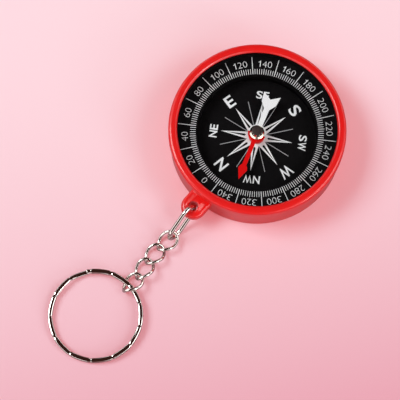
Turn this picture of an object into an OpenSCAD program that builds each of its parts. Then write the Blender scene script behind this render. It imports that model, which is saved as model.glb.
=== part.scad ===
// Pocket compass on a keychain: round moulded case, printed dial, pivoted needle,
// snap-in window, twisted-link chain and a split key ring.
// +Z is up, the underside of the case lies on z = 0, the chain runs out towards -X.

/* [Case] */
// diameter over the rim band
case_d = 45; // [40:0.5:60]
// height from the foot to the top of the rim
case_h = 11.4; // [10.8:0.1:14]
// thickness of the side wall, at the bore
wall_t = 1.35; // [1.1:0.05:1.6]
// how far the side wall stands in from the rim band
rim_step = 0.25; // [0.1:0.05:0.5]
// height of the rim band
rim_band_h = 2.6; // [1.8:0.1:3.4]
// rounding of the top outer edge
rim_round_r = 1.2; // [0.6:0.1:1.4]
// height of the lip that holds the window
lip_t = 0.8; // [0.6:0.1:1.2]
// how far the lip reaches over the window
lip_reach = 0.65; // [0.4:0.05:0.9]
// chamfer inside the lip
lip_chamfer = 0.45; // [0.2:0.05:0.6]
// chamfer at the foot
foot_chamfer = 0.5; // [0.2:0.1:0.8]
// draft of the side wall, from the step to the foot
wall_draft = 0.3; // [0:0.05:0.6]
// width of the foot ring
foot_w = 2.4; // [1.8:0.1:4]
// depth of the moulded relief in the underside
relief_t = 1.4; // [0.6:0.1:1.8]
// diameter of the flat pad in the middle of the underside
pad_d = 12; // [8:0.5:20]
// height of the floor's upper face
floor_z = 3.5; // [3:0.1:4]
// diameter of the pivot boss
boss_d = 4; // [3:0.1:5]

/* [Lug] */
// distance of the lug hole from the rim band
lug_reach = 2.3; // [1.9:0.1:4]
// height of the middle of the lug
lug_z = 5.5; // [5:0.1:6.2]
// diameter of the lug hole
lug_hole_d = 2.4; // [2.2:0.1:3]
// material round the hole
lug_wall = 2; // [1.6:0.1:2.2]
// thickness of the lug
lug_t = 3.4; // [2.8:0.1:3.6]
// rounding of the lug's edges
lug_edge_r = 1; // [0.4:0.1:1]
// how far the foot of the lug spreads on the wall, each side
lug_web = 1.1; // [0.4:0.1:2]

/* [Dial] */
// thickness of the dial card
card_t = 0.5; // [0.3:0.1:0.8]
// inner diameter of the scale ring
scale_inner_d = 30.4; // [28:0.1:34]
// thickness of the scale ring's plate and skirts
scale_t = 0.8; // [0.5:0.1:1]
// height of the upstand that carries the window, above the scale's face
upstand_h = 2.05; // [1.4:0.05:2.4]
// thickness of the upstand
upstand_t = 0.5; // [0.4:0.1:0.8]

/* [Window] */
// thickness of the window
lens_t = 0.9; // [0.7:0.05:1.3]

/* [Needle] */
// diameter of the pivot pin
pin_d = 1; // [0.8:0.1:1.2]
// length of the pin's point
pin_point_h = 0.7; // [0.5:0.05:0.9]
// depth of the pin's foot in the floor
pin_seat = 1.1; // [0.6:0.1:1.4]
// thickness of the needle
needle_t = 0.2; // [0.1:0.05:0.3]
// length of the north half, from the pivot to the point
north_l = 12.95; // [11:0.05:13.8]
// length of the south half
south_l = 11.05; // [9:0.05:13]
// direction of the north point, seen from above, from +X towards +Y
needle_angle = 198.8; // [0:0.1:360]
// diameter of the needle's hub ring
hub_d = 4.6; // [4.4:0.1:5.6]
// diameter of the cap's sleeve
sleeve_d = 2.6; // [2.4:0.1:3]
// diameter of the cap at its foot
cap_foot_d = 3.8; // [3.4:0.1:4.4]
// diameter of the cap at its top
cap_top_d = 2.8; // [2.4:0.1:3.2]
// height of the cap above the needle
cap_h = 2.4; // [1.8:0.05:2.6]
// space between the cap and the window
cap_clear = 0.25; // [0.15:0.05:0.6]
// diameter of the bearing inside the cap
bearing_d = 1.8; // [1.6:0.1:2]

/* [Eyelet link] */
// wire of the eyelet link
eyelet_wire = 1.1; // [0.8:0.05:1.2]
// radius of its ends, at the middle of the wire
eyelet_r = 2.45; // [2.35:0.05:3]
// length of its straight sides
eyelet_l = 5.2; // [4:0.1:9]
// how far its end sits beyond the middle of the lug hole
eyelet_shift = 0.1; // [0:0.05:0.2]
// its turn to the side
eyelet_yaw = 2; // [-10:1:10]
// its lean to the side
eyelet_roll = 10; // [0:1:15]

/* [Chain] */
// wire of the chain links
link_wire = 0.8; // [0.6:0.05:0.85]
// length of a link, over the wire
link_l = 6.6; // [6:0.1:8]
// width of a link, over the wire
link_w = 5.2; // [5:0.1:6]
// twist of a link, each way
link_twist = 40; // [35:1:45]
// free play between two links
link_play = 0.3; // [0.2:0.02:0.6]
// free play between the first link and the eyelet
first_play = 0.48; // [0.4:0.02:0.6]
// height of the lowest link's wire above the ground
link_rest = 0.1; // [0.05:0.05:0.4]

/* [Key ring] */
// outer diameter of the key ring
ring_d = 24; // [20:0.05:32]
// width of the ring's strip
ring_w = 1.15; // [0.9:0.05:1.3]
// height of one turn of the strip
ring_turn_h = 0.7; // [0.5:0.02:0.75]
// space between the two turns
ring_turn_gap = 0.1; // [0.05:0.01:0.2]
// how far the ring hangs beyond the middle of the last link
ring_off = 0.9; // [0.6:0.1:1.4]
// turn of the key ring to the side
ring_yaw = -8; // [-12:1:4]
// angle that the strip takes to cross from one turn to the other
ring_ramp = 34; // [20:1:60]

/* [Hidden] */
$fn = 96;
slip = 0.1;
snug = 0.15;
// case
case_r = case_d / 2;
wall_r = case_r - rim_step;
base_r = wall_r - wall_draft;
bore_r = wall_r - wall_t;
lip_r = bore_r - lip_reach;
lip_z = case_h - lip_t;
step_z = case_h - rim_band_h;
relief_r = base_r - foot_w;
relief_draft = 0.3;
pad_r = pad_d / 2;
card_z = floor_z + card_t;
// dial and window: the window hangs from the lip, the scale stands under it
dial_r = bore_r - snug;
lens_seat = 0.05;
upstand_z = lip_z - lens_seat - lens_t;
scale_z = upstand_z - upstand_h;
upstand_r = dial_r - upstand_t;
scale_inner_r = scale_inner_d / 2;
lens_r = bore_r - slip;
lens_edge = 0.15;
// pin and needle: the cap hangs just under the window, the needle at its foot
cap_top_z = upstand_z - cap_clear;
needle_top_z = cap_top_z - cap_h;
needle_z = needle_top_z - needle_t;
needle_rise = needle_z - card_z;
pin_r = pin_d / 2;
pin_foot_z = floor_z - pin_seat;
pin_crown = 0.9;
pin_tip_z = cap_top_z - pin_crown;
pin_tip_r = 0.05;
boss_share = 0.36;
boss_z = card_z + boss_share * needle_rise;
hub_r = hub_d / 2;
sleeve_r = sleeve_d / 2;
sleeve_share = 0.215;
sleeve_z = needle_z - sleeve_share * needle_rise;
cap_foot_t = 0.25;
bearing_r = bearing_d / 2;
bearing_crown = 0.4;
bearing_top_z = cap_top_z - bearing_crown;
cup_depth = 0.8;
bearing_z = pin_tip_z - cup_depth;
cup_r = 0.7;
cup_end_r = 0.1;
tip_play = 0.05;
cup_top_z = pin_tip_z + tip_play;
// shares of the north half: shaft, joint of the head, barbs
shaft_w_share = 0.0425;
head_share = 0.718;
barb_share = 0.7915;
barb_w_share = 0.119;
// shares of the south half: corner, notch, tail
tail_l_share = 0.77;
tail_w_share = 0.176;
tip_w_share = 0.204;
notch_share = 0.869;
neck_l_share = 0.624;
neck_w_share = 0.065;
// lug
lug_x = case_r + lug_reach;
lug_hole_r = lug_hole_d / 2;
lug_r = lug_hole_r + lug_wall;
lug_mid_r = lug_hole_r + lug_wall / 2;
lug_root_x = bore_r + wall_t / 3;
// eyelet link
eyelet_wire_r = eyelet_wire / 2;
eyelet_near = [-lug_x - eyelet_shift, 0, lug_z] + eyelet_r * away(eyelet_yaw, 0);
eyelet_drop = lug_z - eyelet_r - eyelet_wire_r;
eyelet_slope = asin(eyelet_drop / eyelet_l);
eyelet_far = eyelet_near + eyelet_l * away(eyelet_yaw, -eyelet_slope);
// chain: how each link lies, from the case outwards
link_yaws = [-8, 2, 10, -6];
link_rolls = [-11, -13, -21, -28];
link_tilts = [-8, 2, 2, 1];
link_wire_r = link_wire / 2;
link_a = link_l / 2 - link_wire_r;
link_b = link_w / 2 - link_wire_r;
link_pitch = link_l - 2 * link_wire - link_play;
link_steps = 72;
wire_sides = 14;
bite_share = 0.79;
first_reach = link_a - link_wire_r - eyelet_wire_r - first_play;
first_low = min([for (i = [0:link_steps - 1]) sunk(link_point(360 * i / link_steps, link_rolls[0]), link_tilts[0])]) - link_wire_r;
first_at = eyelet_far + eyelet_r * bite_share * away(eyelet_yaw, 0) + first_reach * away(link_yaws[0], 0);
link_1_at = [first_at[0], first_at[1], link_rest - first_low];
link_2_at = link_1_at + link_pitch / 2 * (away(link_yaws[0], link_tilts[0]) + away(link_yaws[1], link_tilts[1]));
link_3_at = link_2_at + link_pitch / 2 * (away(link_yaws[1], link_tilts[1]) + away(link_yaws[2], link_tilts[2]));
link_4_at = link_3_at + link_pitch / 2 * (away(link_yaws[2], link_tilts[2]) + away(link_yaws[3], link_tilts[3]));
// key ring: its near side rests in the last link, its far side on the ground
ring_r = ring_d / 2 - ring_w / 2;
ring_turn = ring_turn_h + ring_turn_gap;
ring_half_h = (ring_turn + ring_turn_h) / 2;
ring_slope = asin((link_4_at[2] - ring_half_h) / (2 * ring_r));
ring_near = link_4_at + ring_off * away(ring_yaw, 0);
ring_flat = ring_near + ring_r * cos(ring_slope) * away(ring_yaw, 0);
ring_at = [ring_flat[0], ring_flat[1], (link_4_at[2] + ring_half_h) / 2];
ring_start = 96;
ring_end_cut = 1.5;
ring_step = 4;
ring_steps = floor((720 - ring_ramp - ring_end_cut) / ring_step);
strip_sides = 16;
strip_power = 0.6;

// a step away from the case, turned to the side by yaw and raised by rise
function away(yaw, rise) = [-cos(yaw) * cos(rise), -sin(yaw) * cos(rise), sin(rise)];

// the middle of a link's wire: an oval whose plane turns as it runs along
function link_point(t, roll) = let (g = link_twist * cos(t) + roll) [
    link_a * cos(t),
    link_b * sin(t) * cos(g),
    link_b * sin(t) * sin(g)];

// height of a point once its link is tilted
function sunk(p, tilt) = p[2] * cos(tilt) - p[0] * sin(tilt);

function unit(v) = v / norm(v);

// the round wire about one point of a link, square to its run
function link_section(t, roll) = let (
    p = link_point(t, roll),
    run = unit(link_point(t + 1, roll) - link_point(t - 1, roll)),
    side = unit(cross(run, p)),
    out = cross(side, run)) [
    for (k = [0:wire_sides - 1]) p + link_wire_r * (cos(360 * k / wire_sides) * out + sin(360 * k / wire_sides) * side)];

// how far the strip has crossed over from the lower turn to the upper one
function crossed(a) = let (s = min(1, max(0, (a - 360 + ring_ramp) / ring_ramp))) (1 - cos(180 * s)) / 2;

function ring_angle(i) = ring_step * i;

function swell(v) = sign(v) * pow(abs(v), strip_power);

// the strip's section at a step of the key ring
function ring_section(i) = let (
    a = ring_angle(i) + ring_start,
    z = ring_turn * (crossed(ring_angle(i)) - 0.5)) [
    for (k = [0:strip_sides - 1]) let (
        q = 360 * k / strip_sides,
        r = ring_r + ring_w / 2 * swell(cos(q))) [r * cos(a), r * sin(a), z + ring_turn_h / 2 * swell(sin(q))]];

// least distance between the points of two sections
function apart(one, two) = min([for (p = one) min([for (q = two) norm(p - q)])]);

// the two turns lie one above the other: each section against those a full turn on
ring_turn_steps = 360 / ring_step;
ring_gap = min([for (i = [0:ring_steps - ring_turn_steps]) min([
    for (j = [max(0, i + ring_turn_steps - 2):min(ring_steps, i + ring_turn_steps + 2)]) apart(ring_section(i), ring_section(j))])]);
echo(least_gap_between_the_key_ring_turns = ring_gap);

// two triangles for each step between neighbouring sections
function skin(steps, sides, wrap) = [
    for (i = [0:steps - 1]) for (k = [0:sides - 1]) let (
        a = i * sides + k,
        b = i * sides + (k + 1) % sides,
        c = ((i + 1) % wrap) * sides + (k + 1) % sides,
        d = ((i + 1) % wrap) * sides + k) for (f = [[a, b, c], [a, c, d]]) f];

module case_section() {
    difference() {
        union() {
            polygon([
                [0, 0],
                [base_r - foot_chamfer, 0],
                [base_r, foot_chamfer],
                [wall_r, step_z - rim_step],
                [case_r, step_z],
                [case_r, case_h - rim_round_r],
                [case_r - rim_round_r, case_h],
                [0, case_h]]);
            translate([case_r - rim_round_r, case_h - rim_round_r])
                circle(r = rim_round_r);
        }
        // bore for the dial and the window
        translate([0, floor_z])
            square([bore_r, lip_z - floor_z]);
        // opening of the lip, wider at the top
        translate([0, lip_z - slip])
            square([lip_r, lip_t + 2 * slip]);
        polygon([
            [0, case_h - lip_chamfer],
            [lip_r, case_h - lip_chamfer],
            [lip_r + lip_chamfer + slip, case_h + slip],
            [0, case_h + slip]]);
        // relief in the underside
        polygon([
            [pad_r, -slip],
            [pad_r + relief_draft, relief_t],
            [relief_r - relief_draft, relief_t],
            [relief_r, -slip]]);
    }
    // boss, with the blind hole for the pin
    difference() {
        translate([0, floor_z - slip])
            square([boss_d / 2, boss_z - floor_z + slip]);
        translate([0, floor_z - 2 * slip])
            square([pin_r, boss_z]);
    }
}

// rounded section of the lug's ring
module lug_section() {
    flat = lug_t / 2 - lug_edge_r;
    square([lug_wall - 2 * lug_edge_r + slip / 10, lug_t], center = true);
    square([lug_wall, 2 * flat], center = true);
    for (x = [-1, 1])
        for (y = [-1, 1])
            translate([x * (lug_wall / 2 - lug_edge_r), y * flat])
                circle(r = lug_edge_r);
}

// bar with rounded edges that joins the lug to the wall
module lug_neck() {
    length = lug_x - lug_root_x;
    flat = lug_t / 2 - lug_edge_r;
    side = lug_r - lug_edge_r;
    difference() {
        translate([-lug_x, 0, lug_z]) {
            translate([0, -side, -lug_t / 2])
                cube([length, 2 * side, lug_t]);
            translate([0, -lug_r, -flat])
                cube([length, 2 * lug_r, 2 * flat]);
            for (y = [-1, 1])
                for (z = [-1, 1])
                    translate([0, y * side, z * flat])
                        rotate([0, 90, 0])
                            cylinder(r = lug_edge_r, h = length);
        }
        translate([-lug_x, 0, lug_z - lug_t])
            cylinder(r = lug_mid_r, h = 2 * lug_t);
    }
}

// small fillets where the lug meets the wall
module lug_fillets() {
    foot_y = lug_r + lug_web;
    wall_x = sqrt(base_r * base_r - foot_y * foot_y);
    height = lug_t - lug_edge_r;
    for (y = [-1, 1])
        difference() {
            translate([-wall_x - lug_web, y * (lug_r - lug_edge_r / 2 + foot_y) / 2, lug_z])
                translate([0, -(foot_y - lug_r + lug_edge_r / 2) / 2, -height / 2])
                    cube([lug_web + wall_t / 3, foot_y - lug_r + lug_edge_r / 2, height]);
            translate([-wall_x - lug_web, y * foot_y, lug_z - height])
                cylinder(r = lug_web, h = 2 * height);
        }
}

module case() {
    color([0.82, 0.06, 0.05]) {
        difference() {
            rotate_extrude()
                case_section();
            // blind hole for the pin
            translate([0, 0, pin_foot_z])
                cylinder(r = pin_r, h = boss_z);
        }
        translate([-lug_x, 0, lug_z])
            rotate_extrude()
                translate([lug_mid_r, 0])
                    lug_section();
        lug_neck();
        lug_fillets();
    }
}

module dial_card() {
    color([0.06, 0.06, 0.065])
        translate([0, 0, floor_z])
            difference() {
                cylinder(r = dial_r, h = card_t);
                translate([0, 0, -card_t])
                    cylinder(r = boss_d / 2 + snug, h = 3 * card_t);
            }
}

module scale_ring() {
    color([0.08, 0.08, 0.08])
        rotate_extrude()
            polygon([
                [scale_inner_r, card_z],
                [scale_inner_r + scale_t, card_z],
                [scale_inner_r + scale_t, scale_z - scale_t],
                [dial_r - scale_t, scale_z - scale_t],
                [dial_r - scale_t, card_z],
                [dial_r, card_z],
                [dial_r, upstand_z],
                [upstand_r, upstand_z],
                [upstand_r, scale_z],
                [scale_inner_r, scale_z]]);
}

module lens() {
    color([0.9, 0.95, 1, 0.35])
        rotate_extrude()
            polygon([
                [0, upstand_z],
                [lens_r - lens_edge, upstand_z],
                [lens_r, upstand_z + lens_edge],
                [lens_r, upstand_z + lens_t - lens_edge],
                [lens_r - lens_edge, upstand_z + lens_t],
                [0, upstand_z + lens_t]]);
}

module pivot_pin() {
    color([0.7, 0.7, 0.72])
        rotate_extrude()
            polygon([
                [0, pin_foot_z],
                [pin_r, pin_foot_z],
                [pin_r, pin_tip_z - pin_point_h],
                [pin_tip_r, pin_tip_z],
                [0, pin_tip_z]]);
}

// outline of the needle, its north half along +X
module needle_outline() {
    shaft = north_l * shaft_w_share;
    head = north_l * head_share;
    barb = north_l * barb_share;
    barb_w = north_l * barb_w_share;
    corner = -south_l * tail_l_share;
    corner_w = south_l * tail_w_share;
    neck = -south_l * neck_l_share;
    neck_w = south_l * neck_w_share;
    tip_w = south_l * tip_w_share;
    notch = -south_l * notch_share;
    polygon([
        [north_l, 0],
        [barb, barb_w],
        [head, shaft],
        [0, shaft],
        [neck, neck_w],
        [corner, corner_w],
        [-south_l, tip_w],
        [notch, 0],
        [-south_l, -tip_w],
        [corner, -corner_w],
        [neck, -neck_w],
        [0, -shaft],
        [head, -shaft],
        [barb, -barb_w]]);
    circle(r = hub_r);
}

module needle_blade() {
    color([0.85, 0.1, 0.08])
        translate([0, 0, needle_z])
            rotate([0, 0, needle_angle])
                linear_extrude(height = needle_t)
                    difference() {
                        needle_outline();
                        circle(r = sleeve_r);
                    }
}

module needle_cap() {
    color([0.55, 0.53, 0.5])
        rotate_extrude()
            polygon([
                [bearing_r, sleeve_z],
                [sleeve_r, sleeve_z],
                [sleeve_r, needle_top_z],
                [cap_foot_d / 2, needle_top_z],
                [cap_foot_d / 2, needle_top_z + cap_foot_t],
                [cap_top_d / 2, cap_top_z],
                [0, cap_top_z],
                [0, bearing_top_z],
                [bearing_r, bearing_top_z]]);
}

module needle_bearing() {
    color([0.8, 0.65, 0.3])
        rotate_extrude()
            polygon([
                [cup_r, bearing_z],
                [bearing_r, bearing_z],
                [bearing_r, bearing_top_z],
                [0, bearing_top_z],
                [0, cup_top_z],
                [cup_end_r, cup_top_z]]);
}

// half of a ring of wire, bulging towards +X
module wire_bend(radius, wire_r) {
    rotate([90, 0, 0])
        rotate([0, 0, -90])
            rotate_extrude(angle = 180)
                translate([radius, 0])
                    circle(r = wire_r);
}

module eyelet_link() {
    color([0.75, 0.75, 0.77])
        translate(eyelet_near)
            rotate([-eyelet_roll, -eyelet_slope, eyelet_yaw]) {
                wire_bend(eyelet_r, eyelet_wire_r);
                translate([-eyelet_l, 0, 0])
                    rotate([0, 0, 180])
                        wire_bend(eyelet_r, eyelet_wire_r);
                for (side = [-1, 1])
                    translate([-eyelet_l, 0, side * eyelet_r])
                        rotate([0, 90, 0])
                            cylinder(r = eyelet_wire_r, h = eyelet_l);
            }
}

module chain_link(place, i) {
    color([0.75, 0.75, 0.77])
        translate(place)
            rotate([0, link_tilts[i], link_yaws[i]])
                polyhedron(
                    points = [for (k = [0:link_steps - 1]) each link_section(360 * k / link_steps, link_rolls[i])],
                    faces = skin(link_steps, wire_sides, link_steps),
                    convexity = 6);
}

module key_ring() {
    last = (ring_steps + 1) * strip_sides - 1;
    color([0.75, 0.75, 0.77])
        translate(ring_at)
            rotate([0, -ring_slope, ring_yaw])
                polyhedron(
                    points = [for (i = [0:ring_steps]) each ring_section(i)],
                    faces = concat(
                        skin(ring_steps, strip_sides, ring_steps + 1),
                        [[for (k = [0:strip_sides - 1]) strip_sides - 1 - k]],
                        [[for (k = [0:strip_sides - 1]) last - strip_sides + 1 + k]]),
                    convexity = 10);
}

case();
dial_card();
scale_ring();
pivot_pin();
needle_blade();
needle_cap();
needle_bearing();
lens();
eyelet_link();
chain_link(link_1_at, 0);  // chain_link_1
chain_link(link_2_at, 1);  // chain_link_2
chain_link(link_3_at, 2);  // chain_link_3
chain_link(link_4_at, 3);  // chain_link_4
key_ring();
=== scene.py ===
import bmesh
import bpy
import numpy as np
from mathutils import Matrix, Vector


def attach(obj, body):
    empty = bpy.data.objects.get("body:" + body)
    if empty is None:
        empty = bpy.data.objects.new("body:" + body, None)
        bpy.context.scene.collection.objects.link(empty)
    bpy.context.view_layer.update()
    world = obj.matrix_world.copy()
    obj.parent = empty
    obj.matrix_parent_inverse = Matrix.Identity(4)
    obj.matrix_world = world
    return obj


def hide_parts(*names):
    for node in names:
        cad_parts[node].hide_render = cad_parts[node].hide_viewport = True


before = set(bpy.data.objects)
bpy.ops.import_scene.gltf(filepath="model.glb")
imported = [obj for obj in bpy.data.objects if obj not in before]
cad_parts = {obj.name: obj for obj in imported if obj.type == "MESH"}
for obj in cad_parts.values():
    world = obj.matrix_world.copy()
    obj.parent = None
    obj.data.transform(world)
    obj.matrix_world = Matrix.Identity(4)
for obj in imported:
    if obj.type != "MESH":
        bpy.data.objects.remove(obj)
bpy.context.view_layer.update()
scene = bpy.context.scene
scene.view_settings.view_transform = "Standard"
mm = 0.001
joinWithin, tooShort = 2e-7, 1e-8  # metres
print("frame loaded")


# meshes worked out with numpy; all sizes below are in millimetres

def gridFaces(rows, cols, wrapRows=False, wrapCols=False):
    # quads joining each point of a rows x cols grid to its neighbours; a wrapped direction closes on itself
    lastRow, lastCol = rows if wrapRows else rows - 1, cols if wrapCols else cols - 1
    i, j = np.meshgrid(np.arange(lastRow), np.arange(lastCol), indexing="ij")
    a, b = i * cols + j, i * cols + (j + 1) % cols
    c, d = (i + 1) % rows * cols + (j + 1) % cols, (i + 1) % rows * cols + j
    return np.stack([a, b, c, d], -1).reshape(-1, 4)


def makePiece(name, parts, material, smooth=True, outwards=True):
    # one object from several (points, faces) parts: points that coincide are joined, and faces turned outwards
    points, sizes, corners, start = [], [], [], 0
    for p, f in parts:
        p = np.asarray(p, float).reshape(-1, 3)
        f = np.asarray(f)
        points.append(p)
        sizes.append(np.full(len(f), f.shape[1]))
        corners.append(f.ravel() + start)
        start += len(p)
    points, sizes, corners = np.concatenate(points), np.concatenate(sizes), np.concatenate(corners)
    mesh = bpy.data.meshes.new(name)
    mesh.vertices.add(len(points))
    mesh.vertices.foreach_set("co", (points * mm).astype(np.float32).ravel())
    mesh.loops.add(len(corners))
    mesh.loops.foreach_set("vertex_index", corners.astype(np.int32))
    mesh.polygons.add(len(sizes))
    mesh.polygons.foreach_set("loop_start", np.r_[0, np.cumsum(sizes)[:-1]].astype(np.int32))
    mesh.update(calc_edges=True)
    mesh.validate()
    shape = bmesh.new()
    shape.from_mesh(mesh)
    bmesh.ops.remove_doubles(shape, verts=shape.verts, dist=joinWithin)
    bmesh.ops.dissolve_degenerate(shape, edges=shape.edges, dist=tooShort)
    if outwards:
        bmesh.ops.recalc_face_normals(shape, faces=shape.faces)
    shape.to_mesh(mesh)
    shape.free()
    mesh.polygons.foreach_set("use_smooth", np.full(len(mesh.polygons), smooth))
    mesh.materials.append(material)
    piece = bpy.data.objects.new(name, mesh)
    scene.collection.objects.link(piece)
    return piece


def roundedPath(corners, steps=7, most=0.49):
    # a path through corners (x, y, radius): each corner becomes an arc that touches both its sides, and takes
    # at most that share of each side
    c = np.array([q[:2] for q in corners], float)
    path = [c[:1]]
    for k in range(1, len(corners) - 1):
        a, b = c[k - 1] - c[k], c[k + 1] - c[k]
        la, lb = np.linalg.norm(a), np.linalg.norm(b)
        a, b = a / la, b / lb
        half = np.arccos(np.clip(a @ b, -1, 1)) / 2
        radius = corners[k][2] if len(corners[k]) > 2 else 0
        back = min(radius / np.tan(half), most * la, most * lb)
        if back < 1e-4:
            path.append(c[k:k + 1])
            continue
        radius = back * np.tan(half)
        middle = c[k] + (a + b) / np.linalg.norm(a + b) * radius / np.sin(half)
        u, v = c[k] + a * back - middle, c[k] + b * back - middle
        s = np.linspace(0, 1, steps)[:, None]
        turn = np.pi - 2 * half
        path.append(middle + (np.sin((1 - s) * turn) * u + np.sin(s * turn) * v) / np.sin(turn))
    path.append(c[-1:])
    return np.concatenate(path)


def turned(profile, steps=240):
    # a profile (r, z) carried round the Z axis by the angle a: (r cos a, r sin a, z)
    a = np.linspace(0, 2 * np.pi, steps, endpoint=False)[:, None]
    r, z = profile[:, 0][None], profile[:, 1][None]
    points = np.stack([r * np.cos(a), r * np.sin(a), z + 0 * a], -1)
    return points.reshape(-1, 3), gridFaces(steps, len(profile), wrapRows=True)


def tube(path, out, section, closed=True):
    # a section (outwards, sideways) carried along a path: the path's point, plus out times the section's first number,
    # plus side times its second; side stands across both out and the way ahead
    ahead = np.roll(path, -1, 0) - np.roll(path, 1, 0) if closed else np.gradient(path, axis=0)
    ahead = ahead / np.linalg.norm(ahead, axis=1)[:, None]
    side = np.cross(ahead, out)
    side = side / np.linalg.norm(side, axis=1)[:, None]
    out = np.cross(side, ahead)
    section = np.asarray(section)
    if section.ndim == 2:
        section = np.broadcast_to(section, (len(path),) + section.shape)
    points = path[:, None] + out[:, None] * section[..., :1] + side[:, None] * section[..., 1:]
    return points.reshape(-1, 3), gridFaces(len(path), section.shape[1], closed, True)


def circle(radius, steps=16):
    # points round a circle: radius times (cos a, sin a)
    a = np.linspace(0, 2 * np.pi, steps, endpoint=False)
    return np.c_[np.cos(a), np.sin(a)] * radius


def placed(points, turns, at):
    # turned about X, then Y, then Z, by degrees, and moved
    x, y, z = np.radians(turns)
    rx = np.array([[1, 0, 0], [0, np.cos(x), -np.sin(x)], [0, np.sin(x), np.cos(x)]])
    ry = np.array([[np.cos(y), 0, np.sin(y)], [0, 1, 0], [-np.sin(y), 0, np.cos(y)]])
    rz = np.array([[np.cos(z), -np.sin(z), 0], [np.sin(z), np.cos(z), 0], [0, 0, 1]])
    return points @ (rz @ ry @ rx).T + np.asarray(at)


def printed(outlines, low, high):
    # flat shapes of four corners each (n x 4 x 2), raised from low to high
    flat = np.asarray(outlines, float)
    n = len(flat)
    bottom, top = np.dstack([flat, np.full((n, 4), low)]), np.dstack([flat, np.full((n, 4), high)])
    points = np.concatenate([bottom, top], 1)
    box = np.array([[3, 2, 1, 0], [4, 5, 6, 7], [0, 1, 5, 4], [1, 2, 6, 5], [2, 3, 7, 6], [3, 0, 4, 7]])
    return points.reshape(-1, 3), (box[None] + 8 * np.arange(n)[:, None, None]).reshape(-1, 4)


# materials

class Value:
    # one output of a material's nodes; arithmetic on it adds Math nodes
    def __init__(self, tree, socket):
        self.tree, self.socket = tree, socket

    def maths(self, operation, *others):
        # the operation on one or two numbers or values, in their order
        n = self.tree.nodes.new("ShaderNodeMath")
        n.operation = operation
        for slot, v in zip(n.inputs, others):
            if isinstance(v, Value):
                self.tree.links.new(v.socket, slot)
            else:
                slot.default_value = v
        return Value(self.tree, n.outputs[0])

    def __add__(self, v): return self.maths("ADD", self, v)
    def __radd__(self, v): return self.maths("ADD", v, self)
    def __sub__(self, v): return self.maths("SUBTRACT", self, v)
    def __rsub__(self, v): return self.maths("SUBTRACT", v, self)
    def __mul__(self, v): return self.maths("MULTIPLY", self, v)
    def __rmul__(self, v): return self.maths("MULTIPLY", v, self)
    def __truediv__(self, v): return self.maths("DIVIDE", self, v)
    def __rtruediv__(self, v): return self.maths("DIVIDE", v, self)
    def __gt__(self, v): return self.maths("GREATER_THAN", self, v)
    def __lt__(self, v): return self.maths("LESS_THAN", self, v)
    def clipped(self): return self.maths("MINIMUM", self.maths("MAXIMUM", self, 0.0), 1.0)
    def power(self, v): return self.maths("POWER", self, v)


class Nodes:
    # a material's or the world's nodes, and one way to add any node to them
    def __init__(self, tree):
        self.tree = tree

    def node(self, kind, settings={}, inputs={}, out=0):
        # a node of that kind with its settings and inputs; gives the output named by out
        n = self.tree.nodes.new("ShaderNode" + kind)
        for k, v in settings.items():
            setattr(n, k, v)
        for k, v in inputs.items():
            if isinstance(v, Value):
                self.tree.links.new(v.socket, n.inputs[k])
            else:
                n.inputs[k].default_value = v
        return Value(self.tree, n.outputs[out])

    def mixed(self, share, one, two):
        # the colour one * (1 - share) + two * share
        return self.node("Mix", {"data_type": "RGBA"}, {0: share, 6: one, 7: two}, 2)

    def join(self, value, name, socket):
        # the value goes into that socket of the node of that name
        self.tree.links.new(value.socket, self.tree.nodes[name].inputs[socket])


class Finish(Nodes):
    # a material, with its main shader's sockets set
    def __init__(self, name, **sockets):
        self.material = bpy.data.materials.new(name)
        self.material.use_nodes = True
        super().__init__(self.material.node_tree)
        self.shader = self.tree.nodes["Principled BSDF"]
        self.place = self.node("TexCoord", out="Object")
        for k, v in sockets.items():
            self.shader.inputs[k.replace("_", " ")].default_value = v

    def noise(self, scale, detail=3.0, rough=0.5):
        # cloudy noise from 0 to 1, with scale clouds to the metre
        inputs = {"Vector": self.place, "Scale": scale, "Detail": detail, "Roughness": rough}
        return self.node("TexNoise", {}, inputs, "Fac")

    def axis(self, letter):
        # the point's place along X, Y or Z, in metres
        return self.node("SeparateXYZ", {}, {"Vector": self.place}, letter)

    def feed(self, socket, value):
        # the value goes into that socket of the main shader
        self.join(value, self.shader.name, socket)

    def bumps(self, height, distance, strength=1.0):
        # shades the surface as if it were raised by height times distance
        inputs = {"Height": height, "Distance": distance, "Strength": strength}
        self.feed("Normal", self.node("Bump", {}, inputs, "Normal"))


def rgb(red, green, blue):
    # a screen colour, 0 to 255, as the linear colour that nodes take
    c = np.array([red, green, blue]) / 255
    c = np.where(c > 0.04045, ((c + 0.055) / 1.055) ** 2.4, c / 12.92)
    return (float(c[0]), float(c[1]), float(c[2]), 1.0)


plasticLook = {"red": rgb(236, 14, 10), "otherRed": rgb(225, 9, 9), "clouds": 90.0,
               "rough": 0.26, "roughMore": 0.12, "rubbing": 420.0, "coat": 0.5, "coatRough": 0.05,
               "grain": 2600.0, "grainShare": 0.7, "waves": 300.0, "high": 0.00002}


def makeCasePlastic():
    # moulded red, clouded between two reds, with fine grain and soft waves under a thin gloss
    s = plasticLook
    f = Finish("casePlastic", IOR=1.5, Coat_Weight=s["coat"], Coat_Roughness=s["coatRough"])
    f.feed("Base Color", f.mixed(f.noise(s["clouds"], 4.0), s["red"], s["otherRed"]))
    f.feed("Roughness", s["rough"] + s["roughMore"] * f.noise(s["rubbing"], 5.0))
    f.bumps(s["grainShare"] * f.noise(s["grain"], 3.0) + f.noise(s["waves"], 2.0), s["high"], 0.5)
    return f.material


blackLook = {"black": rgb(13, 12, 13), "otherBlack": rgb(24, 22, 23), "gloss": 0.02,
             "rough": 0.42, "roughMore": 0.2, "high": 0.000004}


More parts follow.
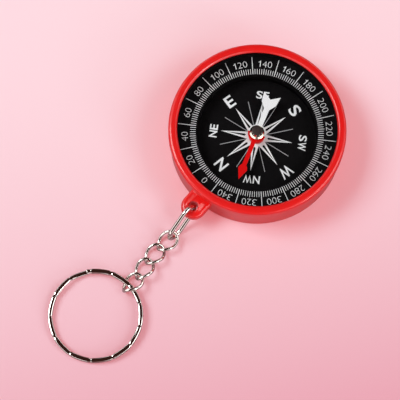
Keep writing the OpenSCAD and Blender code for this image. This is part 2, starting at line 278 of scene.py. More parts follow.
def makeDialBlack(name, grain):
    # matt black, specked between two blacks; the specks are a little rougher and raised
    s = blackLook
    f = Finish(name, Roughness=0.5, Specular_IOR_Level=s["gloss"])
    speck = f.noise(grain, 6.0, 0.6)
    f.feed("Base Color", f.mixed(speck, s["black"], s["otherBlack"]))
    f.feed("Roughness", s["rough"] + s["roughMore"] * speck)
    f.bumps(speck, s["high"], 0.2)
    return f.material


inkLook = {"gloss": 0.25, "rough": 0.45, "roughMore": 0.2, "high": 0.000008}


def makeInk(name, light, dark, grain=900.0):
    # printed ink, specked between a light and a dark tone, matt and slightly raised in specks
    s = inkLook
    f = Finish(name, Roughness=0.55, Specular_IOR_Level=s["gloss"])
    speck = f.noise(grain, 4.0)
    f.feed("Base Color", f.mixed(speck, dark, light))
    f.feed("Roughness", s["rough"] + s["roughMore"] * speck)
    f.bumps(speck, s["high"], 0.3)
    return f.material


needleLook = {"red": rgb(236, 0, 4), "otherRed": rgb(222, 0, 2), "white": rgb(255, 255, 255),
              "otherWhite": rgb(246, 246, 248), "redFrom": 0.0001, "specks": 700.0, "gloss": 0.2,
              "rough": 0.3, "roughMore": 0.15, "high": 0.00001}


def makeNeedlePaint(angle):
    # red on the north half, white on the south half; the needle's axis is turned by angle
    s = needleLook
    f = Finish("needlePaint", Roughness=0.35, Specular_IOR_Level=s["gloss"])
    a = np.radians(angle)
    along = f.axis("X") * float(np.cos(a)) + f.axis("Y") * float(np.sin(a))
    speck = f.noise(s["specks"], 3.0)
    red, white = f.mixed(speck, s["red"], s["otherRed"]), f.mixed(speck, s["white"], s["otherWhite"])
    f.feed("Base Color", f.mixed(along > s["redFrom"], white, red))
    f.feed("Roughness", s["rough"] + s["roughMore"] * speck)
    f.bumps(speck, s["high"], 0.3)
    return f.material


platedLook = {"hazeShade": 0.86, "rubFiner": 9, "rough": 0.015, "wear": 0.03, "rubShare": 0.4, "high": 0.000006}


def makePlated(name, tone, grain):
    # bright metal with a faint darker haze and fine rubbing, both of which roughen it by wear
    s = platedLook
    f = Finish(name, Metallic=1.0, Roughness=0.14)
    haze, rub = f.noise(grain, 4.0), f.noise(grain * s["rubFiner"], 5.0, 0.7)
    f.feed("Base Color", f.mixed(haze, tone, tuple(s["hazeShade"] * c for c in tone[:3]) + (1.0,)))
    f.feed("Roughness", s["rough"] + s["wear"] * haze + s["wear"] * rub)
    f.bumps(haze + s["rubShare"] * rub, s["high"], 0.25)
    return f.material


# the dark tones are painted shade for the cap's crown
capLook = {"bright": rgb(250, 244, 226), "otherBright": rgb(232, 226, 206), "dark": rgb(116, 102, 100),
           "otherDark": rgb(90, 79, 77), "crownDeep": 0.06, "rings": 1500.0,
           "rough": 0.03, "ringRough": 0.05, "crownRough": 0.35, "high": 0.000004}


def makeTurnedCap(topHeight):
    # bright turned sides and a dark flat crown; the crown's dark is painted shade, standing for the flat top's
    # reflection of a dark room
    s = capLook
    f = Finish("capTurned", Metallic=1.0, Roughness=0.2)
    crown = f.axis("Z") > (topHeight - s["crownDeep"]) * mm
    rings = f.noise(s["rings"], 2.0)
    bright, dark = f.mixed(rings, s["bright"], s["otherBright"]), f.mixed(rings, s["dark"], s["otherDark"])
    # painted shade: the crown takes the dark tones
    f.feed("Base Color", f.mixed(crown, bright, dark))
    f.feed("Roughness", s["rough"] + s["ringRough"] * rings + s["crownRough"] * crown)
    f.bumps(rings, s["high"], 0.2)
    return f.material


windowLook = {"tone": rgb(10, 11, 12), "otherTone": rgb(6, 7, 8), "haze": 60.0, "rough": 0.03, "roughMore": 0.05,
              "high": 0.00001, "bend": 1.49, "gloss": 0.25}


def makeWindow():
    # clear plastic: see-through, mixed with a thin gloss that grows towards the edge of view
    s = windowLook
    f = Finish("windowClear", Roughness=0.05, IOR=s["bend"])
    haze = f.noise(s["haze"], 3.0)
    f.feed("Base Color", f.mixed(haze, s["tone"], s["otherTone"]))
    f.feed("Roughness", s["rough"] + s["roughMore"] * haze)
    f.bumps(haze, s["high"], 0.1)
    gloss = f.node("Fresnel", {}, {"IOR": s["bend"]}, "Fac")
    clear = f.node("BsdfTransparent", out="BSDF")
    solid = Value(f.tree, f.shader.outputs["BSDF"])
    f.join(f.node("MixShader", {}, {0: s["gloss"] * gloss, 1: clear, 2: solid}), "Material Output", "Surface")
    return f.material


casePlastic = makeCasePlastic()
cardBlack = makeDialBlack("cardBlack", 1400.0)
scaleBlack = makeDialBlack("scaleBlack", 900.0)
whiteInk = makeInk("whiteInk", rgb(255, 255, 255), rgb(246, 246, 248))
greyInk = makeInk("greyInk", rgb(196, 196, 198), rgb(168, 168, 172))
scaleInk = makeInk("scaleInk", rgb(252, 252, 253), rgb(238, 238, 240), 1500.0)
plated = makePlated("nickelWire", rgb(226, 218, 212), 260.0)
platedRing = makePlated("nickelRing", rgb(226, 218, 212), 180.0)
print("materials ready")

# case: the profile from the middle of the underside round the rim and down the bore to the boss
caseSize = {"rim": 22.5, "wall": 22.25, "base": 21.95, "height": 11.4, "step": 8.8, "stepIn": 0.25, "topRound": 1.2,
            "foot": 0.5, "lipInner": 20.25, "lip": 0.8, "chamfer": 0.45, "bore": 20.9, "floor": 3.5,
            "boss": 2.0, "bossTop": 5.0, "pin": 0.5, "pinFoot": 2.4,
            "pad": 6.0, "reliefOuter": 19.55, "relief": 1.4, "draft": 0.3}
c = caseSize
caseProfile = roundedPath([
    (0, 0), (c["pad"], 0, 0.15), (c["pad"] + c["draft"], c["relief"], 0.25),
    (c["reliefOuter"] - c["draft"], c["relief"], 0.25), (c["reliefOuter"], 0, 0.15),
    (c["base"], 0, c["foot"]), (c["wall"], c["step"] - c["stepIn"], 0.12), (c["rim"], c["step"], 0.12),
    (c["rim"], c["height"], c["topRound"]),
    (c["lipInner"] + c["chamfer"], c["height"], 0.5), (c["lipInner"], c["height"] - c["chamfer"], 0.3),
    (c["lipInner"], c["height"] - c["lip"], 0.04), (c["bore"], c["height"] - c["lip"], 0.03),
    (c["bore"], c["floor"], 0.03), (c["boss"], c["floor"], 0.05), (c["boss"], c["bossTop"], 0.12),
    (c["pin"], c["bossTop"], 0.04), (c["pin"], c["pinFoot"], 0.02), (0, c["pinFoot"])])

# lug: a half round end, straight sides and a fillet at the wall; its top falls away from the hole like a roof
lugSize = {"x": 24.8, "z": 5.5, "hole": 1.2, "outer": 3.2, "thick": 3.4, "edge": 0.9, "holeEdge": 0.3, "worn": 1.0,
           "web": 1.1, "root": 20.95, "sunk": 0.9, "tight": 0.22, "lip": 0.42, "lipTurn": 0.65, "sideways": 1.5,
           "roofFrom": 1.1, "roofWide": 1.0, "roofSlope": 0.46}


def lugOutline(u):
    # how far the plan reaches from the hole at angle u: the round end, or the nearest of straight side, fillet and root
    s = lugSize
    turn = np.abs(u)
    ahead, aside = np.cos(turn), np.clip(np.sin(turn), 1e-6, None)
    footY = s["outer"] + s["web"]
    footX = s["x"] - np.sqrt((caseSize["base"] - s["sunk"]) ** 2 - footY ** 2) - s["web"]
    toward = ahead * footX + aside * footY
    chord = toward ** 2 - footX ** 2 - footY ** 2 + s["web"] ** 2
    fillet = np.where(chord > 0, toward - np.sqrt(np.clip(chord, 0, None)), np.inf)
    straight = s["outer"] / aside
    side = np.where(straight * ahead <= footX, straight, fillet)
    root = (s["x"] - s["root"]) / np.clip(ahead, 1e-6, None)
    return np.where(turn > np.pi / 2, s["outer"], np.minimum(side, root)), footX, footY


def roundOff(radius, inset):
    # how far a quarter round of that radius lies below the flat, at a distance in from its edge
    return radius - np.sqrt(radius ** 2 - np.clip(radius - inset, 0, None) ** 2)


def lugSurface(steps=240, sides=30):
    # u runs round the hole; v runs over the top from hole to edge, back along the bottom, and up the hole's wall
    s = lugSize
    u = np.linspace(-np.pi, np.pi, steps, endpoint=False)[:, None]
    reach, footX, footY = lugOutline(u)
    share = (1 - np.cos(np.pi * np.linspace(0, 1, sides)[None])) / 2
    wall = np.linspace(0, 1, 8)[None, 1:-1]
    bore = s["hole"] - s["tight"] * np.clip(np.cos(u), 0, 1)
    # a lip narrows the hole's bottom on the case's side, and its edge is rounder on the other, where the eyelet bears
    lip = s["lip"] * np.clip(s["sideways"] * np.cos(u - s["lipTurn"]), 0, 1)
    worn = s["holeEdge"] + (s["worn"] - s["holeEdge"]) * np.clip(-s["sideways"] * np.cos(u), 0, 1)

    def level(r, inner, fall):
        # height above the middle: half the thickness, less the roof's fall and the rounding at the edge and the hole
        x, y = r * np.cos(u), np.abs(r * np.sin(u))
        off = np.where(x > 0, y, r)
        inset = np.where(x > footX, np.hypot(x - footX, footY - y) - s["web"], s["outer"] - off)
        roof = fall * s["roofSlope"] * np.clip(off - s["roofFrom"], 0, s["roofWide"])
        return s["thick"] / 2 - roof - roundOff(s["edge"], np.clip(inset, 0, None)) - roundOff(worn, r - inner)

    upper = bore + (reach - bore) * share
    lower = (bore - lip + (reach - bore + lip) * share)[:, ::-1]
    hole = bore - lip * np.clip(2 - 4 * wall, 0, 1)  # the lip is whole up to a quarter of the wall and gone by half
    top, bottom = level(upper, bore, 1), -level(lower, bore - lip, 0)
    r = np.concatenate([upper, lower, hole], 1)
    z = np.concatenate([top, bottom, bottom[:, -1:] + (top[:, :1] - bottom[:, -1:]) * wall], 1)
    points = np.stack([r * np.cos(u) - s["x"], r * np.sin(u), s["z"] + z], -1)
    return points.reshape(-1, 3), gridFaces(*r.shape, True, True)


caseShell = makePiece("caseShell", [turned(caseProfile, 288)], casePlastic)
caseLug = makePiece("caseLug", [lugSurface()], casePlastic)
for o in (caseShell, caseLug):
    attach(o, "case")
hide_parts("case")
print("case made")

# dial: black card and black scale ring
dialSize = {"card": 20.75, "low": 3.5, "top": 4.0, "hole": 2.15, "inner": 15.2, "face": 7.6, "plate": 0.8,
            "upstand": 9.65, "upstandIn": 20.25}
d = dialSize
cardProfile = roundedPath([
    (d["hole"], d["low"]), (d["card"], d["low"], 0.02), (d["card"], d["top"], 0.05), (d["hole"], d["top"], 0.05),
    (d["hole"], d["low"])], 4)
dialCard = makePiece("dialCard", [turned(cardProfile)], cardBlack)
under, inLeg, outLeg = d["face"] - d["plate"], d["inner"] + d["plate"], d["card"] - d["plate"]
scaleProfile = roundedPath([
    (d["inner"], d["top"]), (inLeg, d["top"], 0.05), (inLeg, under, 0.05),
    (outLeg, under, 0.05), (outLeg, d["top"], 0.05), (d["card"], d["top"], 0.05),
    (d["card"], d["upstand"], 0.08), (d["upstandIn"], d["upstand"], 0.08), (d["upstandIn"], d["face"], 0.1),
    (d["inner"], d["face"], 0.2), (d["inner"], d["top"])], 5)
scaleRing = makePiece("scaleRing", [turned(scaleProfile)], scaleBlack)
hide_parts("dial_card")
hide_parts("scale_ring")
for o, slot in ((dialCard, "card"), (scaleRing, "scale_plastic")):
    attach(o, "case")

# printing: ticks and numbers on the ring, rose and letters on the card
markSize = {"zero": 173.55, "tickIn": 15.56, "tickOut": 16.95, "tenOut": 17.1, "longOut": 20.15,
            "tickWide": 0.125, "tenWide": 0.14, "longWide": 0.17, "numberAt": 18.36, "numberHigh": 1.62, "ink": 0.02,
            "sunk": 0.01, "rays": 8, "north": 165.1, "rayTip": 9.2, "rayNotch": 2.5, "rayInk": 1.5,
            "slitFrom": 2.75, "slitWidest": 3.05, "slitTo": 7.8, "slitWide": 0.5, "slitInk": 2.2,
            "lineFrom": 2.6, "lineTo": 9.55, "lineWide": 0.15}
m = markSize


def strokes(angles, inner, outer, wide):
    # straight strokes that point away from the middle: along the angle from inner to outer, half the width to each side
    a = np.radians(np.asarray(angles, float))
    inner, outer, wide = (np.broadcast_to(np.asarray(v, float), a.shape) for v in (inner, outer, wide))
    along, across = np.c_[np.cos(a), np.sin(a)], np.c_[-np.sin(a), np.cos(a)]
    def at(r, side): return along * r[:, None] + across * (side * wide / 2)[:, None]
    return np.stack([at(inner, -1), at(outer, -1), at(outer, 1), at(inner, 1)], 1)


degrees = np.arange(0, 360, 2)
longOnes, tens = degrees % 20 == 10, degrees % 20 == 0
reach = np.where(longOnes, m["longOut"], np.where(tens, m["tenOut"], m["tickOut"]))
wide = np.where(longOnes, m["longWide"], np.where(tens, m["tenWide"], m["tickWide"]))
face = d["face"]
ticks = strokes(m["zero"] - degrees, m["tickIn"], reach, wide)
scaleTicks = makePiece("scaleTicks", [printed(ticks, face - m["sunk"], face + m["ink"])], scaleInk, smooth=False)


def kite(angles, start, notch, notchTurn, tip):
    # rays of four corners: the root, a corner turned notchTurn to each side at the notch's distance, and the tip
    a = np.radians(np.asarray(angles, float))
    n = np.radians(notchTurn)
    def at(r, turn): return r * np.c_[np.cos(a + turn), np.sin(a + turn)]
    return np.stack([at(start, 0), at(notch, -n), at(tip, 0), at(notch, n)], 1)


rayTurn = 360.0 / m["rays"]
rays = m["north"] - np.arange(m["rays"]) * rayTurn
slitTurn = np.degrees(m["slitWide"] / 2 / m["slitFrom"])
top, ink = d["top"], m["ink"]
low = top - m["sunk"]
whiteRays = kite(rays, 0.0, m["rayNotch"], rayTurn / 2, m["rayTip"])
slits = kite(rays, m["slitFrom"], m["slitWidest"], slitTurn, m["slitTo"])
lines = strokes(rays + rayTurn / 2, m["lineFrom"], m["lineTo"], m["lineWide"])
roseShapes = {  # corners, bottom, top, material
    "roseRays": (whiteRays, low, top + ink * m["rayInk"], whiteInk),
    "roseSlits": (slits, top, top + ink * m["slitInk"], cardBlack),
    "roseLines": (lines, low, top + ink, greyInk)}
rose = [makePiece(name, [printed(flat, *heights)], material, smooth=False)
        for name, (flat, *heights, material) in roseShapes.items()]

oneCorners = [(0.14, -0.5), (0.5, -0.5), (0.5, 0.5), (0.22, 0.5), (0.0, 0.36), (-0.5, 0.3), (-0.5, 0.19), (0.14, 0.24)]
oneFaces = [(0, 1, 2), (0, 2, 7), (7, 2, 3), (7, 3, 4), (7, 4, 5), (7, 5, 6)]  # a figure 1 with its flag


def glyph(letter, bold):
    # one letter of Blender's own typeface as flat points and triangles, one unit high and wide, about its middle
    if letter == "1":
        return np.array(oneCorners), np.array(oneFaces)
    curve = bpy.data.curves.new("glyph", "FONT")
    curve.body, curve.offset, curve.resolution_u = letter, bold, 4
    holder = bpy.data.objects.new("glyph", curve)
    scene.collection.objects.link(holder)
    bpy.context.view_layer.update()
    flat = bpy.data.meshes.new_from_object(holder.evaluated_get(bpy.context.evaluated_depsgraph_get()))
    flat.calc_loop_triangles()
    co, tri = np.zeros(len(flat.vertices) * 3), np.zeros(len(flat.loop_triangles) * 3, int)
    flat.vertices.foreach_get("co", co)
    flat.loop_triangles.foreach_get("vertices", tri)
    bpy.data.objects.remove(holder)
    bpy.data.curves.remove(curve)
    bpy.data.meshes.remove(flat)
    co, tri = co.reshape(-1, 3)[:, :2], tri.reshape(-1, 3)
    lo, hi = co.min(0), co.max(0)
    return (co - (lo + hi) / 2) / (hi - lo), tri


glyphWide = {"N": 0.85, "E": 0.7, "S": 0.78, "W": 1.08, "1": 0.36}  # shares of the height


def lettering(name, words, material, low, thick, bold, gap, other=0.66, pitch=None):
    # words as (text, angle, distance, height), tops away from the middle, letters side by side or at an even pitch;
    # a point is the word's place, plus height times (its x and the letter's place, along) and (its y, outwards)
    parts, made = [], {}
    for text, angle, distance, height in words:
        wides = [glyphWide.get(t, other) for t in text]
        whole = pitch * len(text) if pitch else sum(wides) + gap * (len(text) - 1)
        at = -whole / 2
        a = np.radians(angle)
        out, along = np.array([np.cos(a), np.sin(a)]), np.array([np.sin(a), -np.cos(a)])
        for t, wide in zip(text, wides):
            middle = at + (pitch if pitch else wide) / 2
            at += pitch if pitch else wide + gap
            if t not in made:
                made[t] = glyph(t, bold)
            co, tri = made[t]
            spot = out * distance + (co[:, :1] * wide + middle) * height * along + co[:, 1:] * height * out
            n = len(spot)
            points = np.concatenate([np.c_[spot, np.full(n, low + thick)], np.c_[spot, np.full(n, low)]])
            edges = np.sort(np.concatenate([tri[:, [0, 1]], tri[:, [1, 2]], tri[:, [2, 0]]]), 1)
            unique, count = np.unique(edges, axis=0, return_counts=True)
            rim = unique[count == 1]
            parts.append((points, np.concatenate([tri, tri[:, ::-1] + n])))
            parts.append((points, np.c_[rim[:, 0], rim[:, 1], rim[:, 1] + n, rim[:, 0] + n]))
    return makePiece(name, parts, material, smooth=False)


numbers = [(str(v), m["zero"] - v, m["numberAt"], m["numberHigh"]) for v in range(0, 360, 20)]
thick = ink + m["sunk"]
scaleNumbers = lettering("scaleNumbers", numbers, scaleInk, face - m["sunk"], thick, -0.02, 0.1, pitch=0.82)
bigWords = [("N", 169.5, 11.63, 3.1), ("E", 76.1, 11.55, 3.12), ("S", -14.4, 12.09, 3.1), ("W", -101.3, 11.83, 3.05)]
smallWords = [("NE", 122.0, 11.08, 2.06), ("SE", 31.5, 11.2, 2.06),
              ("SW", -57.9, 11.75, 2.06), ("NW", -146.7, 11.4, 2.06)]
bigLetters, smallLetters = (lettering(name, words, whiteInk, low, thick, 0.02, 0.12)
                            for name, words in (("bigLetters", bigWords), ("smallLetters", smallWords)))
for o in (scaleTicks, scaleNumbers):
    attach(o, "case")
for o in rose + [bigLetters, smallLetters]:
    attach(o, "case")
print("dial printed")

# needle and cap; the bearing and pin keep their CAD shape, further down
needleSize = {"angle": 198.8, "low": 6.8, "thick": 0.2, "hole": 1.3, "hub": 2.3, "north": 12.95, "south": 11.05,
              "shaft": 0.55, "head": 8.85, "cheek": (9.5, 1.0), "barb": (10.1, 1.2),
              "neck": (6.9, 0.72), "corner": (8.5, 1.95), "tip": 2.25, "notch": 9.6,
              "capFoot": 1.9, "flare": 7.75, "shoulder": (1.4, 8.15), "capTop": 1.3, "top": 9.4,
              "sleeve": 6.2, "bore": 0.9, "boreDeep": 0.4, "dimple": 0.16, "dimpleDeep": 0.08}
n = needleSize


def needleOutline(steps=220):
    # half-width of the blade at each place along it, north positive; the hub is a round about the pivot
    keys = np.array([
        (-n["south"], n["tip"]), (-n["corner"][0], n["corner"][1]), (-n["neck"][0], n["neck"][1]), (0, n["shaft"]),
        (n["head"], n["shaft"]), n["cheek"], n["barb"], (n["north"], 0.02)])
    u = np.unique(np.r_[np.linspace(-n["south"], n["north"], steps), keys[:, 0], np.linspace(-n["hub"], n["hub"], 81)])
    half = np.interp(u, keys[:, 0], keys[:, 1])
    hub = np.sqrt(np.clip(n["hub"] ** 2 - u ** 2, 0, None))
    return u, np.maximum(half, hub)


def needleSurface():
    # strips either side of the axis: from the inner line (the hole, or the tail's notch) to the outline
    u, half = needleOutline()
    hole = np.sqrt(np.clip(n["hole"] ** 2 - u ** 2, 0, None))
    tail = np.clip((-n["notch"] - u) / (n["south"] - n["notch"]), 0, 1) * n["tip"] * 0.995
    inner = np.maximum(hole, tail)
    parts = []
    for side in (-1, 1):
        s = np.linspace(0, 1, 5)[None]
        v = inner[:, None] + (half - inner)[:, None] * s
        rows = [np.stack([u[:, None] + 0 * v, side * v, 0 * v + z], -1) for z in (n["low"] + n["thick"], n["low"])]
        rim = np.concatenate([rows[0], rows[1][:, ::-1]], 1)
        faces = gridFaces(len(u), rim.shape[1], False, True)
        parts.append((placed(rim.reshape(-1, 3), (0, 0, n["angle"]), (0, 0, 0)), faces))
    return parts


needlePaint = makeNeedlePaint(n["angle"])
needleBlade = makePiece("needleBlade", needleSurface(), needlePaint, smooth=False)
seat = n["low"] + n["thick"]
capProfile = roundedPath([
    (n["bore"], n["sleeve"]), (n["hole"], n["sleeve"], 0.05), (n["hole"], seat, 0.02), (n["capFoot"], seat, 0.05),
    (n["capFoot"], n["flare"], 0.16), (*n["shoulder"], 0.2), (n["capTop"], n["top"], 0.06),
    (n["dimple"], n["top"], 0.03), (0, n["top"] - n["dimpleDeep"]), (0, n["top"] - n["boreDeep"]),
    (n["bore"], n["top"] - n["boreDeep"]), (n["bore"], n["sleeve"])], 6)
needleCap = makePiece("needleCap", [turned(capProfile, 96)], makeTurnedCap(n["top"]))
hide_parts("needle_blade")
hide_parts("needle_cap")
for o, slot in ((needleBlade, "needle_paint"), (needleCap, "cap_metal")):
    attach(o, "needle")
print("needle made")

# chain: long eyelet link, four twisted links, split ring
eyeletSize = {"near": (-27.349, -0.086, 5.5), "yaw": 2.0, "roll": 10.0, "slope": 28.74,
              "radius": 2.45, "wire": 0.55, "length": 5.2}
linkSize = {"a": 2.9, "b": 2.2, "twist": 40.0, "wire": 0.4, "yaw": [-8, 2, 10, -6], "roll": [-11, -13, -21, -28],
            "tilt": [-8, 2, 2, 1], "at": [(-35.295, -0.108, 1.762), (-39.947, 0.134, 1.517),
                                          (-44.607, -0.355, 1.681), (-49.257, -0.518, 1.804)]}
ringSize = {"at": (-61.45, 1.196, 1.276), "slope": 2.64, "yaw": -8.0, "radius": 11.425, "wide": 1.15,
            "turnHigh": 0.7, "turn": 0.8, "ramp": 34.0, "sweep": 684.0, "start": 96.0, "soft": 0.75,
            "flats": 13, "firstFlat": 0.5, "bulge": 0.1, "flatIn": 0.7, "nick": 0.15, "nickWide": 1.6}


def eyeletPath(steps=48):
    # two straight sides joined by half rounds, in the XZ plane, then turned into place
    e = eyeletSize
    a = np.radians(np.linspace(-90, 90, steps))
    near = np.c_[e["radius"] * np.cos(a), 0 * a, e["radius"] * np.sin(a)]
    far = np.c_[-e["length"] - e["radius"] * np.cos(a), 0 * a, -e["radius"] * np.sin(a)]
    s = np.linspace(0, 1, 22)[1:-1]
    upper = np.c_[-e["length"] * s, 0 * s, e["radius"] + 0 * s]
    lower = np.c_[-e["length"] * (1 - s), 0 * s, -e["radius"] + 0 * s]
    path = np.concatenate([near, upper, far, lower])
    return path, path - np.c_[np.clip(path[:, 0], -e["length"], 0), 0 * path[:, 0], 0 * path[:, 0]]


def eyelet():
    # a round wire carried along the eyelet's path, then rolled, sloped and turned into place
    e = eyeletSize
    path, out = eyeletPath()
    points, faces = tube(path, out, circle(e["wire"], 20))
    return placed(points, (-e["roll"], -e["slope"], e["yaw"]), e["near"]), faces


def link(k, steps=120):
    # a wire along an oval (a cos t, b sin t) whose b direction turns as it runs: by roll plus twist times cos t
    s = linkSize
    t = np.linspace(0, 2 * np.pi, steps, endpoint=False)
    g = np.radians(s["twist"] * np.cos(t) + s["roll"][k])
    path = np.c_[s["a"] * np.cos(t), s["b"] * np.sin(t) * np.cos(g), s["b"] * np.sin(t) * np.sin(g)]
    points, faces = tube(path, path, circle(s["wire"], 18))
    return placed(points, (0, s["tilt"][k], s["yaw"][k]), s["at"][k]), faces


def splitRing(steps=960, sides=20):
    # a flat strip wound nearly twice; over the last ramp degrees of the first turn it rises by turn, as half a cosine
    s = ringSize
    a = np.linspace(0, s["sweep"], steps)
    share = np.clip((a - 360 + s["ramp"]) / s["ramp"], 0, 1)
    z = s["turn"] * ((1 - np.cos(np.pi * share)) / 2 - 0.5)
    t = np.radians(a + s["start"])
    path = np.c_[s["radius"] * np.cos(t), s["radius"] * np.sin(t), z]
    q = np.linspace(0, 2 * np.pi, sides, endpoint=False)
    across, high = (np.sign(v) * np.abs(v) ** s["soft"] for v in (np.cos(q), np.sin(q)))
    section = np.c_[across * s["wide"] / 2, high * s["turnHigh"] / 2]
    # the strip is bent in flats: radius dips at the middle of each flat, and a nick marks each corner's top
    part = ((a + s["start"] - s["firstFlat"]) * s["flats"] / 360) % 1 - 0.5
    nick = s["nick"] * np.exp(-((0.5 - np.abs(part)) * 360 / s["flats"] / s["nickWide"]) ** 2)
    path[:, :2] *= (1 + s["bulge"] / s["radius"] * (4 * part ** 2 - s["flatIn"]))[:, None]
    sections = np.broadcast_to(section, (steps, sides, 2)).copy()
    sections *= (1 - nick / s["turnHigh"])[:, None, None]
    out = np.c_[np.cos(t), np.sin(t), 0 * t]
    points, faces = tube(path, out, sections, closed=False)
    caps = np.array([[k, k + 1, sides - 2 - k, sides - 1 - k] for k in range(sides // 2 - 1)])
    last = (steps - 1) * sides
    faces = np.concatenate([faces, caps, caps[:, ::-1] + last])
    return placed(points, (0, -s["slope"], s["yaw"]), s["at"]), faces


chainPieces = [("eyeletLink", eyelet(), plated, "eyelet_link", "eyelet", "chain_metal")]
chainPieces += [(f"chainLink{k}", link(k - 1), plated, f"chain_link_{k}", f"link_{k}", "chain_metal")
                for k in (1, 2, 3, 4)]
chainPieces.append(("keyRing", splitRing(), platedRing, "key_ring", "key_ring", "ring_metal"))
for name, shape, material, node, body, slot in chainPieces:
    o = makePiece(name, [shape], material)
    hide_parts(node)
    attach(o, body)
print("chain made")

# CAD nodes that keep their own shape
innerParts = {"lens": makeWindow(), "pivot_pin": makePlated("pinSteel", rgb(190, 190, 195), 400.0),
              "needle_bearing": makePlated("bearingBrass", rgb(214, 170, 92), 500.0)}
for name, material in innerParts.items():
    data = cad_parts[name].data
    data.materials.clear()
    data.materials.append(material)
print("inner parts finished")

# ground, light and camera
# the two pinks paint light falling off across the paper, the red glow paints light for the camera, and the dark pink is
# painted shade seen in gloss
stageSize = {"ground": 1.6, "paintedDimPink": rgb(232, 159, 174), "paintedLitPink": rgb(255, 217, 224), "paintedShadeInGloss": rgb(60, 34, 40),
             "start": (-0.021, 0.001), "toward": (0.62, 0.78), "reach": 0.134, "bend": 1.7, "paintedGlowRed": 0.45,
             "glossShadeShare": 0.52, "glossShadeFar": 0.4, "farFrom": 0.022, "farReach": 0.111,
             "grain": 1800.0, "high": 0.00002}


def makeGround():
    # pink paper, paler along the direction "toward": 1 - (1 - way / reach) to the power of bend; the paler side is
    # painted light, as if more light fell there.
    # for the camera part of its red is a painted glow that keeps its shadows pink, and gloss sees a darker ground,
    # painted shade that grows further off
    f = Finish("pinkPaper", Roughness=0.75, Specular_IOR_Level=0.1, Emission_Strength=1.0)
    s = stageSize
    (startX, startY), (towardX, towardY) = s["start"], s["toward"]
    x, y = f.axis("X") - startX, f.axis("Y") - startY
    # painted light: the paper grows paler along "toward"
    along = ((towardX * x + towardY * y) / s["reach"] + 0.5).clipped()
    along = 1.0 - (1.0 - along).power(s["bend"])
    far = (((x.power(2.0) + y.power(2.0)).power(0.5) - s["farFrom"]) / s["farReach"]).clipped()
    seen, gloss = (f.node("LightPath", out="Is " + kind + " Ray") for kind in ("Camera", "Glossy"))
    seenTone, litTone = (f.mixed(along, *((c[0] * share, c[1], c[2], 1.0) for c in (s["paintedDimPink"], s["paintedLitPink"])))
                         for share in (1.0, 1.0 - s["paintedGlowRed"]))
    tone = f.mixed(seen, seenTone, litTone)
    # painted shade: glossy rays see the ground darker, more so further off
    f.feed("Base Color", f.mixed(gloss * (s["glossShadeShare"] + s["glossShadeFar"] * far), tone, s["paintedShadeInGloss"]))
    # painted light: the camera sees part of the red as a glow, which keeps the shadows pink
    paintedGlowTone = f.mixed(along, *((c[0] * s["paintedGlowRed"], 0.0, 0.0, 1.0) for c in (s["paintedDimPink"], s["paintedLitPink"])))
    f.feed("Emission Color", f.mixed(seen, (0.0, 0.0, 0.0, 1.0), paintedGlowTone))
    f.bumps(f.noise(s["grain"], 5.0), s["high"], 0.15)
    return f.material


half = stageSize["ground"] / 2 / mm
corners = np.array([[-half, -half, 0], [half, -half, 0], [half, half, 0], [-half, half, 0]])
ground = makePiece("ground", [(corners, np.array([[0, 1, 2, 3]]))], makeGround(), smooth=False, outwards=False)


def lamp(name, azimuth, elevation, distance, size, level, colour, mirrored):
    # a square soft lamp aimed at the object's middle; level is the share of plain white that it gives to the ground:
    # its power is level times (pi times distance) squared over the sine of its elevation
    a, e = np.radians(azimuth), np.radians(elevation)
    light = bpy.data.lights.new(name, "AREA")
    light.size, light.color = size, colour
    light.energy = float(level * (np.pi * distance) ** 2 / np.sin(e))
    o = bpy.data.objects.new(name, light)
    way = Vector((float(np.cos(a) * np.cos(e)), float(np.sin(a) * np.cos(e)), float(np.sin(e))))
    o.location = lampAim + way * distance
    o.rotation_mode = "QUATERNION"
    o.rotation_quaternion = way.to_track_quat("Z", "Y")
    o.visible_glossy = mirrored
    scene.collection.objects.link(o)


lampAim = Vector((-0.02, 0, 0))
lamps = {  # azimuth, elevation, distance, size, level, colour, seen in gloss
    "keyLamp": (120, 50, 1.5, 0.7, 0.465, (0.97, 1.02, 1.02), True),
    "fillLamp": (-60, 47, 1.5, 0.7, 0.185, (1.0, 1.0, 1.0), True),
    "edgeLamp": (-88, 22, 1.5, 0.36, 0.055, (1.0, 1.0, 1.0), True),
    "frontLamp": (-126, 26, 1.6, 1.6, 0.14, (1.0, 1.0, 1.0), False)}
for name, values in lamps.items():
    lamp(name, *values)

roomSize = {"light": 0.26, "band": 2.0, "dark": 0.02,
            "tint": (1.04, 0.98, 0.98, 1.0), "darkTint": (2.1, 0.85, 0.65, 1.0),
            "side": (0.61, -0.79), "from": 0.1, "to": 0.54, "rise": 7.0, "fall": 10.0,
            "gap": 0.14, "gapRise": 5.0, "gapLevel": 0.1, "tintRise": 4.0}


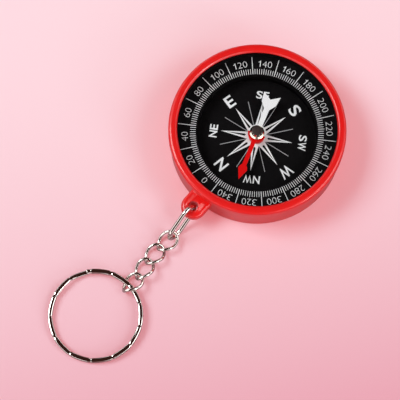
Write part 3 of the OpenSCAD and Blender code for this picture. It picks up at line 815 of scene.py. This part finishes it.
def makeRoom():
    # even light, but gloss sees a dark room with a pale band low down that a darker gap cuts square to "side".
    # the band is a ramp up at "from" times a ramp down at "to", by height, times a ramp up away from the gap's middle
    r = roomSize
    world = bpy.data.worlds.new("room")
    world.use_nodes = True
    f = Nodes(world.node_tree)
    place, gloss = f.node("TexCoord", out="Generated"), f.node("LightPath", out="Is Glossy Ray")
    x, y, up = (f.node("SeparateXYZ", {}, {"Vector": place}, letter) for letter in "XYZ")
    across = x * r["side"][0] + y * r["side"][1]
    aside = r["gapLevel"] + ((across.maths("ABSOLUTE", across) - r["gap"]) * r["gapRise"]).clipped()
    band = ((up - r["from"]) * r["rise"]).clipped() * ((r["to"] - up) * r["fall"]).clipped() * aside
    f.join(gloss * (r["dark"] + band * (r["band"] - r["dark"])) + (1.0 - gloss) * r["light"], "Background", "Strength")
    dim = 1.0 - (band * r["tintRise"]).clipped()
    f.join(f.mixed(gloss * dim, r["tint"], r["darkTint"]), "Background", "Color")
    return world


scene.world = makeRoom()

shot = {"azimuth": -52.3, "elevation": 74.49, "distance": 613.6, "target": (-21.24, 0.86, 0.0), "roll": 2.54,
        "lens": 216.9, "sensor": 36.0, "near": 0.05, "far": 10.0}


def makeCamera():
    # stands back from the target by distance, along the azimuth and elevation; roll turns right and up about that line
    a, e, r = np.radians([shot["azimuth"], shot["elevation"], shot["roll"]])
    back = np.array([np.sin(a) * np.cos(e), -np.cos(a) * np.cos(e), np.sin(e)])
    right = np.array([np.cos(a), np.sin(a), 0])
    up = np.cross(back, right)
    right, up = right * np.cos(r) + up * np.sin(r), up * np.cos(r) - right * np.sin(r)
    data = bpy.data.cameras.new("photoCamera")
    data.lens, data.sensor_width = shot["lens"], shot["sensor"]
    data.clip_start, data.clip_end = shot["near"], shot["far"]
    o = bpy.data.objects.new("photoCamera", data)
    at = (np.array(shot["target"]) + back * shot["distance"]) * mm
    o.matrix_world = Matrix([[*map(float, row)] for row in np.c_[right, up, back, at]] + [[0, 0, 0, 1]])
    scene.collection.objects.link(o)
    scene.camera = o


makeCamera()
print("stage set")
